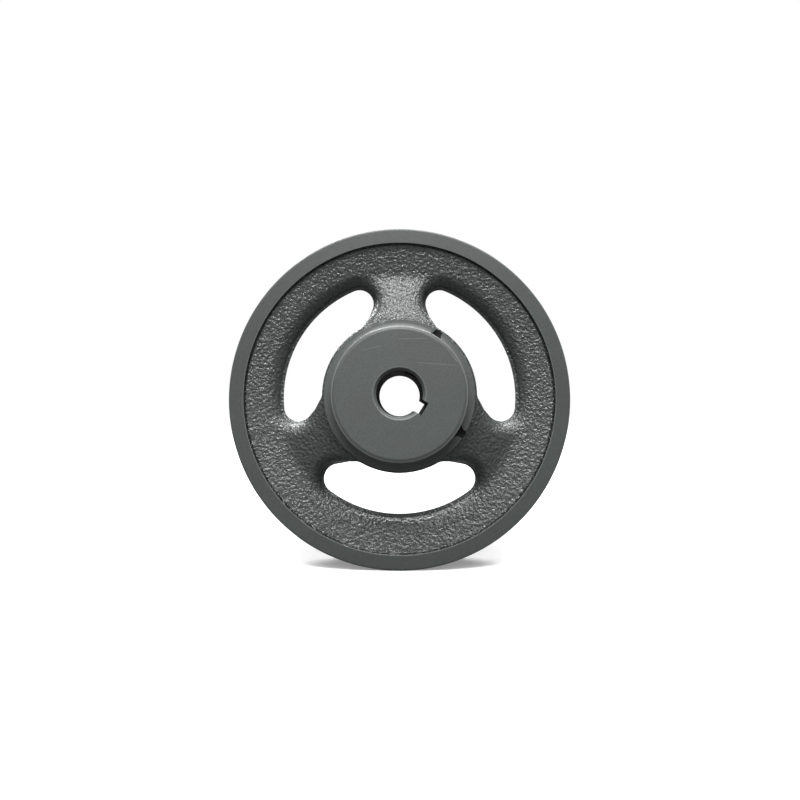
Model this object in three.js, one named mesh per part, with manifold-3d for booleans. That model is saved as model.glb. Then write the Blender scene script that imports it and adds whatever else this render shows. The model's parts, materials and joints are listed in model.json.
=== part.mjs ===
// Single-groove V belt pulley with a finished bore, a keyway and two set screws.
// Millimetres. The bore axis is Y, the long end of the hub points to -Y, and +Z is up.
// The origin is on the bore axis, midway between the two side faces of the rim.

import * as THREE from 'three';
import { mergeVertices } from 'three/addons/utils/BufferGeometryUtils.js';
import Module from 'manifold-3d';

const wasm = await Module();
wasm.setup();

// ---- Rim ----
const outsideDiameter = 125.73;
const rimWidth = 19.05;
const rimCornerChamfer = 0.5;
const grooveTopWidth = 12.7;
const grooveDepth = 12.4;
const grooveAngle = THREE.MathUtils.degToRad(37);
const rimFaceBand = 5.46; // turned ring on each side face of the rim
const recessWallDepth = 1.2; // step from that ring back to the rough web
const recessWallSlope = 0.45;

// ---- Hub ----
const hubLength = 28.575;
const hubProjection = 13.9; // hub nose ahead of the rim's front face
const hubNoseDiameter = 47.3;
const hubNoseBevel = 1.5;
const shelfReach = 3.55; // turned shelf round the hub's foot, outwards from the hub's side
const shelfRise = 3.8; // shelf ahead of the rim's front face
const hubSideFillet = 2.6;
const hubBackFaceInset = 4.2; // rim of the hub's back face, inwards from the shelf's rim
const hubBackBossHeight = 0.9; // turned back face of the hub above the rough arms

// ---- Web and arms ----
const armCount = 3;
const firstArmAngle = 90; // degrees from +X towards +Z
const webDish = THREE.MathUtils.degToRad(14); // the web falls away towards the windows
const valleyOffset = 0.9; // the arms' slope meets the dished web this far outside the windows
const armRootWidth = 4.6; // steeper foot of each arm at the shelf
const armRootDrop = 2.8;
const rimWall = 5.85; // iron between the groove's root and the windows
const hubSkirt = 1.3; // windows start this far outside the shelf
const windowOuterCorner = 5.5;
const windowInnerCorner = 3;
const armHalfWidthAtHub = 13.8; // at the window's inner radius
const armTaper = THREE.MathUtils.degToRad(20); // each flank, narrowing outwards
const cornerShare = 0.4; // a window corner takes at most this share of the window's height
const windowEdgeBevel = 3.4;

// ---- Bore, keyway and tapped holes ----
const boreDiameter = 15.875;
const boreMouthChamfer = 1.0;
const keyWidth = 4.7625;
const keywayHeight = 2.13; // keyway floor beyond the bore's wall
const keywayAngle = -32; // degrees from +X towards +Z
const screwsApart = 90; // degrees between the two tapped holes
const screwSetback = 6.3; // screw axis behind the hub's nose face
const holeMouthChamfer = 0.3;

// ---- Set screws, 1/4-20 with a cup point ----
const screwDiameter = 6.35;
const threadPitch = 1.27;
const screwLength = 9.525;
const screwEndChamfer = 0.7;
const cupDiameter = 3.3;
const cupDepth = 0.75;
const socketAcrossFlats = 3.175;
const socketDepth = 3.6;
const threadClearance = 0.3; // all round, between screw and hole
const keyTopClearance = 0.11; // between a key's top and the keyway floor

// ---- Mesh fineness ----
const turnSegments = 96;
const holeSegments = 28;
const cornerSteps = 5;
const arcStep = THREE.MathUtils.degToRad(3.75);
const flareThickness = 0.02;
const overcut = 1; // cutters reach this far past what they cut

// ---- Places that follow from the sizes above ----
const rimRadius = outsideDiameter / 2;
const rimFront = -rimWidth / 2;
const rimBack = rimWidth / 2;
const hubNose = rimFront - hubProjection;
const hubBack = hubNose + hubLength;
const boreRadius = boreDiameter / 2;
const noseRadius = hubNoseDiameter / 2;
const shelfRadius = noseRadius + shelfReach;
const backFaceRadius = shelfRadius - hubBackFaceInset;
const shelfFront = rimFront - shelfRise;
const screwPlane = hubNose + screwSetback;
const screwRadius = screwDiameter / 2;
const holeRadius = screwRadius + threadClearance;
const keywayFloor = boreRadius + keywayHeight;
const keyTop = keywayFloor - keyTopClearance;
const grooveRoot = rimRadius - grooveDepth;
const windowOuterRadius = grooveRoot - rimWall;
const windowInnerRadius = shelfRadius + hubSkirt;
const recessRadius = rimRadius - rimFaceBand;
const recessFloorRadius = recessRadius - recessWallSlope;
const valleyRadius = windowOuterRadius + valleyOffset;
const valleyDepth = recessWallDepth + (recessFloorRadius - valleyRadius) * Math.tan(webDish);
const valleyFront = rimFront + valleyDepth;
const valleyBack = rimBack - valleyDepth;
// Each screw rests one turn of its thread short of what it clamps.
const shaftScrewTip = boreRadius + threadPitch;
const keyScrewTip = keyTop + threadPitch;

const radians = THREE.MathUtils.degToRad;

// Turns a three.js geometry into a solid that can be cut.
function solidOf(geometry) {
  const bare = geometry.index ? geometry.toNonIndexed() : geometry.clone();
  bare.deleteAttribute('normal');
  bare.deleteAttribute('uv');
  const merged = mergeVertices(bare, 1e-4);
  const mesh = new wasm.Mesh({
    numProp: 3,
    vertProperties: Float32Array.from(merged.attributes.position.array),
    triVerts: Uint32Array.from(merged.index.array),
  });
  return new wasm.Manifold(mesh);
}

// Turns a solid back into a three.js geometry.
function geometryOf(solid) {
  const mesh = solid.getMesh();
  const positions = new Float32Array(mesh.numVert * 3);
  for (let v = 0; v < mesh.numVert; v += 1) {
    for (let k = 0; k < 3; k += 1) {
      positions[3 * v + k] = mesh.vertProperties[v * mesh.numProp + k];
    }
  }
  const geometry = new THREE.BufferGeometry();
  geometry.setAttribute('position', new THREE.BufferAttribute(positions, 3));
  geometry.setIndex(new THREE.BufferAttribute(Uint32Array.from(mesh.triVerts), 1));
  geometry.computeVertexNormals();
  return geometry;
}

// Points of a round corner between two straight profile lines: a quarter-like arc about a centre.
function arcPoints(centreX, centreY, radius, from, to, steps) {
  const points = [];
  for (let i = 0; i <= steps; i += 1) {
    const angle = from + ((to - from) * i) / steps;
    points.push(new THREE.Vector2(
      centreX + radius * Math.cos(angle),
      centreY + radius * Math.sin(angle),
    ));
  }
  return points;
}

// Half the groove's width at a radius.
function grooveHalfWidth(radius) {
  return grooveTopWidth / 2 - (rimRadius - radius) * Math.tan(grooveAngle / 2);
}

// The casting before its windows, keyway and tapped holes: one closed profile turned about Y.
function turnedBlank() {
  const chamfer = boreMouthChamfer;
  const filletRadius = noseRadius + hubSideFillet;
  const filletHeight = shelfFront - hubSideFillet;
  const rootHalf = grooveHalfWidth(grooveRoot);
  const armsBack = hubBack - hubBackBossHeight;
  const profile = [
    new THREE.Vector2(boreRadius, hubNose + chamfer),
    new THREE.Vector2(boreRadius + chamfer, hubNose),
    new THREE.Vector2(noseRadius - hubNoseBevel, hubNose),
    new THREE.Vector2(noseRadius, hubNose + hubNoseBevel),
    ...arcPoints(filletRadius, filletHeight, hubSideFillet, Math.PI, Math.PI / 2, cornerSteps),
    new THREE.Vector2(shelfRadius, shelfFront),
    new THREE.Vector2(shelfRadius + armRootWidth, shelfFront + armRootDrop),
    new THREE.Vector2(valleyRadius, valleyFront),
    new THREE.Vector2(recessFloorRadius, rimFront + recessWallDepth),
    new THREE.Vector2(recessRadius, rimFront),
    new THREE.Vector2(rimRadius - rimCornerChamfer, rimFront),
    new THREE.Vector2(rimRadius, rimFront + rimCornerChamfer),
    new THREE.Vector2(rimRadius, -grooveTopWidth / 2),
    new THREE.Vector2(grooveRoot, -rootHalf),
    new THREE.Vector2(grooveRoot, rootHalf),
    new THREE.Vector2(rimRadius, grooveTopWidth / 2),
    new THREE.Vector2(rimRadius, rimBack - rimCornerChamfer),
    new THREE.Vector2(rimRadius - rimCornerChamfer, rimBack),
    new THREE.Vector2(recessRadius, rimBack),
    new THREE.Vector2(recessFloorRadius, rimBack - recessWallDepth),
    new THREE.Vector2(valleyRadius, valleyBack),
    new THREE.Vector2(backFaceRadius + hubBackBossHeight, armsBack),
    new THREE.Vector2(backFaceRadius, hubBack),
    new THREE.Vector2(boreRadius + chamfer, hubBack),
    new THREE.Vector2(boreRadius, hubBack - chamfer),
  ];
  profile.push(profile[0].clone());
  return solidOf(new THREE.LatheGeometry(profile, turnSegments));
}

// The centre of a round corner between a window's upper flank and one of its arcs, and the
// direction in which the corner meets the flank. The window is centred on +X, and its flank
// is the side of the next arm, which narrows outwards.
function flankCorner(arcRadius, cornerRadius, outwards) {
  const armAxis = Math.PI / armCount;
  const flank = armAxis + armTaper;
  const direction = new THREE.Vector2(Math.cos(flank), Math.sin(flank));
  const inward = new THREE.Vector2(Math.sin(flank), -Math.cos(flank));
  const along = Math.sqrt(windowInnerRadius ** 2 - armHalfWidthAtHub ** 2);
  const start = new THREE.Vector2(
    along * Math.cos(armAxis) + armHalfWidthAtHub * Math.sin(armAxis),
    along * Math.sin(armAxis) - armHalfWidthAtHub * Math.cos(armAxis),
  );
  const reach = outwards ? arcRadius - cornerRadius : arcRadius + cornerRadius;
  const base = start.clone().addScaledVector(inward, cornerRadius);
  const half = base.dot(direction);
  const root = Math.sqrt(half * half - base.lengthSq() + reach * reach);
  const centre = base.clone().addScaledVector(direction, -half + root);
  return { centre, flankAngle: Math.atan2(-inward.y, -inward.x) };
}

// The outline of one window, centred on +X, in the plane across the bore axis.
function windowShape() {
  const height = windowOuterRadius - windowInnerRadius;
  const outerCorner = Math.min(windowOuterCorner, height * cornerShare);
  const innerCorner = Math.min(windowInnerCorner, height * cornerShare);
  const outer = flankCorner(windowOuterRadius, outerCorner, true);
  const inner = flankCorner(windowInnerRadius, innerCorner, false);
  const outerEnd = outer.centre.angle();
  const innerEnd = inner.centre.angle();
  const arcSteps = (sweep) => Math.max(2, Math.ceil(sweep / arcStep));
  const upper = [
    ...arcPoints(0, 0, windowOuterRadius, 0, outerEnd, arcSteps(outerEnd)),
    ...arcPoints(outer.centre.x, outer.centre.y, outerCorner,
      outerEnd, outer.flankAngle, 2 * cornerSteps).slice(1),
    ...arcPoints(inner.centre.x, inner.centre.y, innerCorner,
      inner.flankAngle, innerEnd + Math.PI, cornerSteps),
    ...arcPoints(0, 0, windowInnerRadius, innerEnd, 0, arcSteps(innerEnd)).slice(1),
  ];
  const lower = upper.slice(1, -1).reverse().map((p) => new THREE.Vector2(p.x, -p.y));
  return new THREE.Shape([...upper, ...lower]);
}

// A prism on the window's outline, from one place along the bore axis to another.
function windowPrism(from, to) {
  const geometry = new THREE.ExtrudeGeometry(windowShape(), { depth: to - from, bevelEnabled: false });
  geometry.rotateX(Math.PI / 2);
  geometry.translate(0, to, 0);
  return solidOf(geometry);
}

// A wider slice that takes the sharp edge off the window where it leaves a face of the web.
function windowFlare(height) {
  const geometry = new THREE.ExtrudeGeometry(windowShape(), {
    depth: flareThickness,
    bevelThickness: windowEdgeBevel,
    bevelSize: windowEdgeBevel,
    bevelSegments: 1,
  });
  geometry.rotateX(Math.PI / 2);
  geometry.translate(0, height, 0);
  return solidOf(geometry);
}

function windows() {
  const one = windowPrism(hubNose - overcut, hubBack + rimWidth)
    .add(windowFlare(valleyFront))
    .add(windowFlare(valleyBack));
  const all = [];
  for (let i = 0; i < armCount; i += 1) {
    const angle = firstArmAngle + (360 / armCount) * (i + 0.5);
    all.push(one.rotate([0, -angle, 0]));
  }
  return all.reduce((sum, next) => sum.add(next));
}

// Places a geometry made along +Y so that it points outwards from the bore at an angle.
function pointOutwards(geometry, angle) {
  geometry.rotateZ(-Math.PI / 2);
  geometry.rotateY(-radians(angle));
  geometry.translate(0, screwPlane, 0);
  return geometry;
}

function keyway() {
  const length = hubLength + 2 * overcut;
  const geometry = new THREE.BoxGeometry(keywayFloor, length, keyWidth);
  geometry.translate(keywayFloor / 2, hubNose - overcut + length / 2, 0);
  geometry.rotateY(-radians(keywayAngle));
  return solidOf(geometry);
}

function tappedHole(angle) {
  const sideRadius = Math.sqrt(noseRadius ** 2 - holeRadius ** 2);
  const mouth = holeRadius + holeMouthChamfer;
  const profile = [
    new THREE.Vector2(0, boreRadius / 2),
    new THREE.Vector2(holeRadius, boreRadius / 2),
    new THREE.Vector2(holeRadius, sideRadius - holeMouthChamfer),
    new THREE.Vector2(mouth, sideRadius),
    new THREE.Vector2(mouth, noseRadius + 3 * overcut),
    new THREE.Vector2(0, noseRadius + 3 * overcut),
  ];
  return solidOf(pointOutwards(new THREE.LatheGeometry(profile, holeSegments), angle));
}

function sheaveSolid() {
  return turnedBlank()
    .subtract(windows())
    .subtract(keyway())
    .subtract(tappedHole(keywayAngle))
    .subtract(tappedHole(keywayAngle + screwsApart));
}

// A set screw along +Y with its cup point at the tip height.
function screwSolid(tip, angle) {
  const end = tip + screwLength;
  const profile = [
    new THREE.Vector2(0, tip + cupDepth),
    new THREE.Vector2(cupDiameter / 2, tip),
    new THREE.Vector2(screwRadius - screwEndChamfer, tip),
    new THREE.Vector2(screwRadius, tip + screwEndChamfer),
    new THREE.Vector2(screwRadius, end - screwEndChamfer),
    new THREE.Vector2(screwRadius - screwEndChamfer, end),
    new THREE.Vector2(0, end),
  ];
  const socketRadius = socketAcrossFlats / 2 / Math.cos(Math.PI / 6);
  const socket = new THREE.CylinderGeometry(socketRadius, socketRadius, socketDepth + overcut, 6);
  socket.translate(0, end - socketDepth + (socketDepth + overcut) / 2, 0);
  const body = solidOf(pointOutwards(new THREE.LatheGeometry(profile, holeSegments), angle));
  return body.subtract(solidOf(pointOutwards(socket, angle)));
}

const coatedIron = new THREE.MeshStandardMaterial({ color: 0x5f6463, roughness: 0.5, metalness: 0.35 });
const blackSteel = new THREE.MeshStandardMaterial({ color: 0x1f2022, roughness: 0.42, metalness: 0.8 });

function named(name, solid, material) {
  const mesh = new THREE.Mesh(geometryOf(solid), material);
  mesh.name = name;
  return mesh;
}

const group = new THREE.Group();
group.add(named('sheave', sheaveSolid(), coatedIron));
group.add(named('keyway_set_screw', screwSolid(keyScrewTip, keywayAngle), blackSteel));
group.add(named('shaft_set_screw', screwSolid(shaftScrewTip, keywayAngle + screwsApart), blackSteel));

export default group;
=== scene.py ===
import functools
import json
import math
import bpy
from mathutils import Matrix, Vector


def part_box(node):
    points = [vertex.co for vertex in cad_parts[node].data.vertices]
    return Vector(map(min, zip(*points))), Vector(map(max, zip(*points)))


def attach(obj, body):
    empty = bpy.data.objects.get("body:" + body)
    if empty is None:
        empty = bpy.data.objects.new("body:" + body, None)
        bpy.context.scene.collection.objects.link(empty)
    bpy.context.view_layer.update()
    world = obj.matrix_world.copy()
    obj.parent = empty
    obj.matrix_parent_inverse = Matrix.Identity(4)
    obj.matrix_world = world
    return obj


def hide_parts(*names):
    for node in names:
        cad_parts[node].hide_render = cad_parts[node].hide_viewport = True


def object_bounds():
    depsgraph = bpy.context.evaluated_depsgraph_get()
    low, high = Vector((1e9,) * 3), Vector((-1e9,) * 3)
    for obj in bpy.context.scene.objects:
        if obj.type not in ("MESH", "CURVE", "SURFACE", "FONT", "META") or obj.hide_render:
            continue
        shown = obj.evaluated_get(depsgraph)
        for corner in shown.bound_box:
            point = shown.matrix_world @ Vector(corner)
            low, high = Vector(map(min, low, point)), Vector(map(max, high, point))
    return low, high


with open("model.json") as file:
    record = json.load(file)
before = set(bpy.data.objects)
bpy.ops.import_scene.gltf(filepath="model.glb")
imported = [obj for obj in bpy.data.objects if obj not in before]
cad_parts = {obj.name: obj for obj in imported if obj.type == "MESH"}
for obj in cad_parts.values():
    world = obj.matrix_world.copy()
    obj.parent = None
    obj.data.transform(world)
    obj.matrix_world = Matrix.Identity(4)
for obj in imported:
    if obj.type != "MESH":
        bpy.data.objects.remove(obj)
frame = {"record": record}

from types import SimpleNamespace

import bmesh
import bpy
import numpy as np
from mathutils import Matrix, Vector

bl_info = {
    "name": "V Belt Pulley",
    "version": (1, 0, 0),
    "blender": (4, 5, 0),
    "location": "View3D > Sidebar > Pulley",
    "description": "Builds a coated cast-iron V belt pulley, its set screws and a small studio",
    "category": "Add Mesh",
}

MM = 0.001
CAD_LOW, CAD_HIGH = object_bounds()
SHEAVE_LOW, SHEAVE_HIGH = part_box("sheave")
MOUNTS = {mount["name"]: mount for mount in frame["record"]["mounts"]}
HUB_BACK = MOUNTS["hub_back_face"]["pos_m"][1]

# Faces along each stretch of a window's outline, and across the iron from it.
RIM_STEPS, ARM_STEPS, FOOT_STEPS, SKIRT_STEPS = 72, 38, 20, 12
FRONT_ROWS, BACK_ROWS = 22, 10
WALL_ROWS, BEND_ROWS = 5, 9
OUTLINE_POINTS = 400
RIM_CORNER_STEPS, HUB_CORNER_STEPS = 3, 4
THREAD_SIDES, ROWS_PER_TURN = 48, 9
THREAD_CREST, THREAD_ROOT = 0.14, 0.88  # flat shares of half a pitch
WELD = 1e-6
CAST, TURNED, BORED = 0, 1, 2  # the casting's finishes, face by face

# Slight tones that lie over the finishes' own colours, linear.
TONES = {
    "skin cloud": (0.08, 0.088, 0.085),
    # Painted shade: near black, for the thin dark line where the recess wall meets the web.
    "painted recess shade": (0.008, 0.008, 0.008),
    "turned cool": (0.074, 0.082, 0.077),
    "turned warm": (0.088, 0.086, 0.08),
    "turned bright": (0.12, 0.13, 0.125),
    "turned dark": (0.055, 0.061, 0.058),
    "scratched": (0.19, 0.2, 0.195),
    # Lighter worn edges: partly real wear, partly a painted highlight.
    "worn_and_highlit": (0.26, 0.275, 0.27),
    "oiled": (0.014, 0.0135, 0.013),
    "worn oxide": (0.09, 0.088, 0.085),
}
# Ends of the hair-fine scratches on the front faces, along X and Z in millimetres.
SCRATCHES = (
    ((4.8, 10.6), (20.4, 9.45)), ((-1.6, 18.6), (10.2, 18.8)), ((17.3, 13.3), (20.0, 10.6)),
    ((-14.0, 14.5), (-6.0, 16.2)), ((47.6, 38.2), (51.7, 38.9)),
)
# Each softbox: watts, width and height, and where it stands, in metres.
SOFTBOXES = {
    "key_light": (2.4, (0.45, 0.45), (0.0, -0.57, 0.57)),
    "top_light": (6.5, (0.7, 0.11), (0.0, -0.42, 0.67)),
    "crown_light": (6.0, (1.5, 0.1), (0.0, -0.2, 0.76)),
    "front_light": (1.0, (0.6, 0.6), (0.0, -0.95, 0.1)),
    "side_light": (0.35, (0.5, 0.5), (-0.6, -0.45, 0.3)),
    "back_light": (7.0, (0.7, 0.4), (-0.1, 0.6, 0.55)),
}


def length(name, millimetres, description):
    """A size in metres whose default is given in millimetres."""
    return bpy.props.FloatProperty(
        name=name, description=description, default=millimetres * MM, unit="LENGTH", precision=4
    )


def turn(name, degrees, description):
    """An angle whose default is given in degrees."""
    return bpy.props.FloatProperty(
        name=name, description=description, default=math.radians(degrees), subtype="ANGLE"
    )


def count(name, number, description):
    """A whole number, at least one."""
    return bpy.props.IntProperty(name=name, description=description, default=number, min=1)


def number(name, value, description):
    """A plain number."""
    return bpy.props.FloatProperty(name=name, description=description, default=value)


def tint(name, colour, description):
    """A linear colour."""
    return bpy.props.FloatVectorProperty(
        name=name, description=description, default=colour, size=3, subtype="COLOR", min=0, max=1
    )


class PulleySizes(bpy.types.PropertyGroup):
    """The casting's sizes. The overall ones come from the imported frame."""

    outside_diameter: length(
        "Outside diameter", (SHEAVE_HIGH.x - SHEAVE_LOW.x) / MM, "Rim, from edge to edge"
    )
    rim_width: length("Rim width", 2 * SHEAVE_HIGH.y / MM, "Between the two turned side faces")
    hub_nose: length("Hub nose", SHEAVE_LOW.y / MM, "Hub's front face, along the bore")
    hub_back: length("Hub back", HUB_BACK / MM, "Hub's back face, along the bore")
    rim_corner: length("Rim corner", 0.6, "Radius at the rim's outer corners")
    groove_top: length("Groove width", 12.7, "Across the groove at the outside diameter")
    groove_depth: length("Groove depth", 12.4, "From the outside diameter to the root")
    groove_angle: turn("Groove angle", 37, "Between the groove's two walls")
    groove_corner: length("Groove corner", 0.6, "Radius at the groove's root")
    face_band: length("Face band", 5.46, "Turned ring on the rim's side face")
    recess_wall: length("Recess wall", 1.2, "Step from that ring down to the rough web")
    recess_slope: length("Recess wall slope", 0.45, "Lean of that step")
    recess_fillet: length("Recess fillet", 0.5, "Radius at the foot of that step")
    web_dish: turn("Web dish", 14, "Slope of the web down towards the windows")
    valley_offset: length("Valley offset", 0.9, "From the windows to where the slopes meet")
    valley_blend: length("Valley blend", 1.1, "Softness of that meeting line")
    nose_diameter: length("Hub diameter", 47.3, "Across the turned side of the hub")
    nose_bevel: length("Nose bevel", 1.4, "Flat bevel round the hub's front face")
    nose_bevel_drop: length("Nose bevel drop", 0.4, "How far that bevel falls back")
    nose_corner: length("Nose corner", 0.5, "Radius between bevel and side")
    shelf_reach: length("Shelf reach", 3.55, "Turned shelf, outwards from the hub's side")
    shelf_rise: length("Shelf rise", 3.8, "Shelf ahead of the rim's front face")
    side_draft: length("Hub side draft", 0.3, "How much slimmer the hub is at its nose")
    side_fillet: length("Hub side fillet", 2.6, "Radius between side and shelf")
    back_ring_inset: length("Back ring inset", 1.7, "Rough back, inwards from the shelf's rim")
    back_face_inset: length("Back face inset", 4.2, "Turned face, inwards from the shelf's rim")
    back_boss: length("Back boss", 0.9, "Turned back face above the arms' rough back")
    edge_break: length("Edge break", 0.15, "Radius on turned edges")

    arm_count: count("Arms", 3, "Arms between hub and rim")
    arm_half_width: length("Arm half width", 13.8, "Half an arm, where the windows start")
    arm_taper: turn("Arm taper", 20, "Each flank of an arm, narrowing outwards")
    arm_foot_slope: turn("Arm foot slope", 47, "Slope of an arm where it leaves the shelf")
    arm_slope: turn("Arm slope", 18.7, "Slope of an arm further out")
    arm_foot_length: length("Arm foot length", 2.2, "How quickly the steep foot eases off")
    rim_wall: length("Rim wall", 5.85, "Iron between groove and windows")
    hub_skirt: length("Hub skirt", 1.3, "From the shelf's rim to the windows")
    window_outer_corner: length("Window outer corner", 5.5, "Corner radius beside the rim")
    window_inner_corner: length("Window inner corner", 3.0, "Corner radius beside the hub")
    parting: length("Parting line", -1.0, "Where the mould's halves met, along the bore")
    front_round: length("Front rounding", 4.2, "Radius on the windows' front edges")
    back_round: length("Back rounding", 3.2, "Radius on the windows' back edges")
    wall_draft: length("Wall draft", 1.2, "Lean of a window's wall up to its edge")

    bore_diameter: length("Bore", 15.875, "Finished bore")
    bore_chamfer: length("Bore chamfer", 1.0, "Chamfer at each mouth of the bore")
    key_width: length("Key width", 4.7625, "Width of the keyway")
    keyway_height: length("Keyway height", 2.13, "Keyway floor beyond the bore's wall")
    keyway_angle: turn("Keyway angle", -32, "From +X towards +Z")
    screws_apart: turn("Screws apart", 90, "Between the two tapped holes")
    screw_setback: length("Screw setback", 6.3, "Screw axis behind the hub's front face")

    skin_height: length("Skin height", 0.13, "Height of the sand skin's bumps")
    skin_grain: length("Skin grain", 1.1, "Distance from bump to bump")
    skin_seed: number("Skin seed", 4.0, "Picks the bumps")


class ScrewSizes(bpy.types.PropertyGroup):
    """Sizes of the set screws and of the threads they run in."""

    diameter: length("Diameter", 6.35, "Outside diameter of the thread")
    pitch: length("Pitch", 1.27, "Travel for one turn")
    depth: length("Thread depth", 0.66, "Crest to root")
    body: length("Length", 9.525, "Overall length of a screw")
    end_chamfer: length("End chamfer", 0.75, "Chamfer at both ends of a screw")
    cup_diameter: length("Cup diameter", 3.3, "Across the cup point")
    cup_depth: length("Cup depth", 0.8, "Depth of the cup point")
    socket: length("Socket", 3.175, "Across the flats of the hexagon socket")
    socket_depth: length("Socket depth", 3.6, "Depth of the socket")
    hole_play: length("Hole play", 0.1, "Radial play between screw and tapped hole")
    mouth: length("Hole mouth", 0.8, "Chamfer at the tapped hole's mouth")
    key_play: length("Key play", 0.11, "Between a key's top and the keyway floor")


class FinishColours(bpy.types.PropertyGroup):
    """Linear colours of the finishes and of the studio."""

    skin: tint("Cast skin", (0.074, 0.082, 0.08), "Coat over the rough cast skin")
    skin_low: tint("Cast skin hollows", (0.055, 0.061, 0.0595), "The coat in its hollows")
    turned: tint("Turned faces", (0.096, 0.109, 0.104), "Coat over the turned faces")
    # Near black: partly dark iron, partly painted shade inside bore, keyway and tapped holes.
    bored_iron_and_shade: tint("Bored iron and painted shade", (0.006, 0.006, 0.006), "Bare iron in bore, keyway and threads")
    steel: tint("Black steel", (0.018, 0.018, 0.02), "Oxide finish of the set screws")
    floor: tint("Floor", (0.86, 0.86, 0.86), "Pale floor and backdrop")


class StudioSettings(bpy.types.PropertyGroup):
    """Camera, light and floor."""

    camera_distance: length("Camera distance", 169.0, "Camera ahead of the rim, along its view")
    camera_drop: length("Camera drop", 7.69, "Bore axis above the line of sight at the rim")
    camera_side: length("Camera side", 0.17, "Camera right of the bore axis")
    camera_pitch: turn("Camera pitch", 4.53, "How far the camera looks up")
    lens: number("Lens", 20.7, "Focal length in millimetres")
    shift: number("Lens shift", -0.0326, "Share of the frame's width")
    floor_radius: length("Floor radius", 6000, "Radius of the round floor")
    light_level: number("Light level", 1.0, "Scales the power of every softbox")
    sky: number("Sky", 0.1, "Light from the plain surroundings")
    backdrop: number("Backdrop", 1.0, "Brightness of the surroundings behind the pulley")


# Settings, and the shapes that follow from them


def sizes():
    """The casting's sizes."""
    return bpy.context.scene.pulley_sizes


def screw_sizes():
    """The screws' and threads' sizes."""
    return bpy.context.scene.pulley_screws


def colours():
    """The finishes' colours."""
    return bpy.context.scene.pulley_colours


def studio():
    """The studio's settings."""
    return bpy.context.scene.pulley_studio


def derived():
    """Places that follow from the casting's sizes."""
    s = sizes()
    rim_radius = s.outside_diameter / 2
    rim_front, rim_back = -s.rim_width / 2, s.rim_width / 2
    shelf_radius = s.nose_diameter / 2 + s.shelf_reach
    window_outer = rim_radius - s.groove_depth - s.rim_wall
    floor_radius = rim_radius - s.face_band - s.recess_slope
    return SimpleNamespace(
        rim_radius=rim_radius,
        rim_front=rim_front,
        rim_back=rim_back,
        root=rim_radius - s.groove_depth,
        root_half=s.groove_top / 2 - s.groove_depth * math.tan(s.groove_angle / 2),
        recess_radius=rim_radius - s.face_band,
        floor_radius=floor_radius,
        web_edge=floor_radius - 1.3 * s.recess_fillet,
        shelf_radius=shelf_radius,
        shelf_front=rim_front - s.shelf_rise,
        back_ring=shelf_radius - s.back_ring_inset,
        back_face=shelf_radius - s.back_face_inset,
        arms_back=s.hub_back - s.back_boss,
        window_outer=window_outer,
        window_inner=shelf_radius + s.hub_skirt,
        valley=window_outer + s.valley_offset,
        bore_radius=s.bore_diameter / 2,
        keyway_floor=s.bore_diameter / 2 + s.keyway_height,
        screw_plane=s.hub_nose + s.screw_setback,
    )


def soft_min(a, b, width):
    """The smaller of two values, with a rounded corner where they cross."""
    mix = np.clip(0.5 + 0.5 * (b - a) / width, 0, 1)
    return b + (a - b) * mix - width * mix * (1 - mix)


def smooth(x):
    """An even ramp from 0 to 1 that eases in and out."""
    x = np.clip(x, 0, 1)
    return x * x * (3 - 2 * x)


def rounded(points, steps=5):
    """A profile through (radius, place, corner radius) points with its corners rounded off."""
    out = [np.array(points[0][:2])]
    for before, here, after in zip(points, points[1:], points[2:]):
        a, p, b = (np.array(q[:2]) for q in (before, here, after))
        radius = here[2]
        to_a, to_b = a - p, b - p
        to_a, to_b = to_a / np.linalg.norm(to_a), to_b / np.linalg.norm(to_b)
        half = math.acos(float(np.clip(to_a @ to_b, -1, 1))) / 2
        if radius <= 0 or half > math.radians(89):
            out.append(p)
            continue
        reach = radius / math.tan(half)
        centre = p + (to_a + to_b) / np.linalg.norm(to_a + to_b) * radius / math.sin(half)
        start, end = p + to_a * reach - centre, p + to_b * reach - centre
        sweep = math.pi - 2 * half
        for i in range(steps + 1):
            t = i / steps
            arc = math.sin((1 - t) * sweep) * start + math.sin(t * sweep) * end
            out.append(centre + arc / math.sin(sweep))
    out.append(np.array(points[-1][:2]))
    return np.array(out)


def supported(profile, margin):
    """The same profile with a point close to both ends of every long straight."""
    out = [profile[0]]
    for a, b in zip(profile, profile[1:]):
        span = np.linalg.norm(b - a)
        if span > 4 * margin:
            step = (b - a) / span * margin
            out += [a + step, b - step]
        out.append(b)
    return np.array(out)


# Node trees


def new_tree(name, inputs):
    """An empty geometry tree with a geometry input and output and the named inputs."""
    tree = bpy.data.node_groups.new(name, "GeometryNodeTree")
    tree.interface.new_socket("Geometry", in_out="INPUT", socket_type="NodeSocketGeometry")
    for label, kind in inputs:
        tree.interface.new_socket(label, in_out="INPUT", socket_type=kind)
    tree.interface.new_socket("Geometry", in_out="OUTPUT", socket_type="NodeSocketGeometry")
    return tree, tree.nodes.new("NodeGroupInput"), tree.nodes.new("NodeGroupOutput")


def plug(socket, value):
    """Links a socket to another, or sets its value."""
    if isinstance(value, bpy.types.NodeSocket):
        socket.id_data.links.new(value, socket)
    else:
        socket.default_value = value


def tree_of(*values):
    """The node tree of the first value that is a socket."""
    return next(value.id_data for value in values if isinstance(value, bpy.types.NodeSocket))


def feed(node, **values):
    """Links or sets a node's inputs, named in words."""
    for name, value in values.items():
        plug(node.inputs[name.replace("_", " ")], value)


def put(tree, kind, settings=None, **values):
    """Adds a node with its settings and inputs."""
    node = tree.nodes.new(kind)
    for name, value in (settings or {}).items():
        setattr(node, name, value)
    feed(node, **values)
    return node


def calc(operation, *values):
    """The result of a Math node."""
    node = put(tree_of(*values), "ShaderNodeMath", {"operation": operation})
    for socket, value in zip(node.inputs, values):
        plug(socket, value)
    return node.outputs[0]


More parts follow.
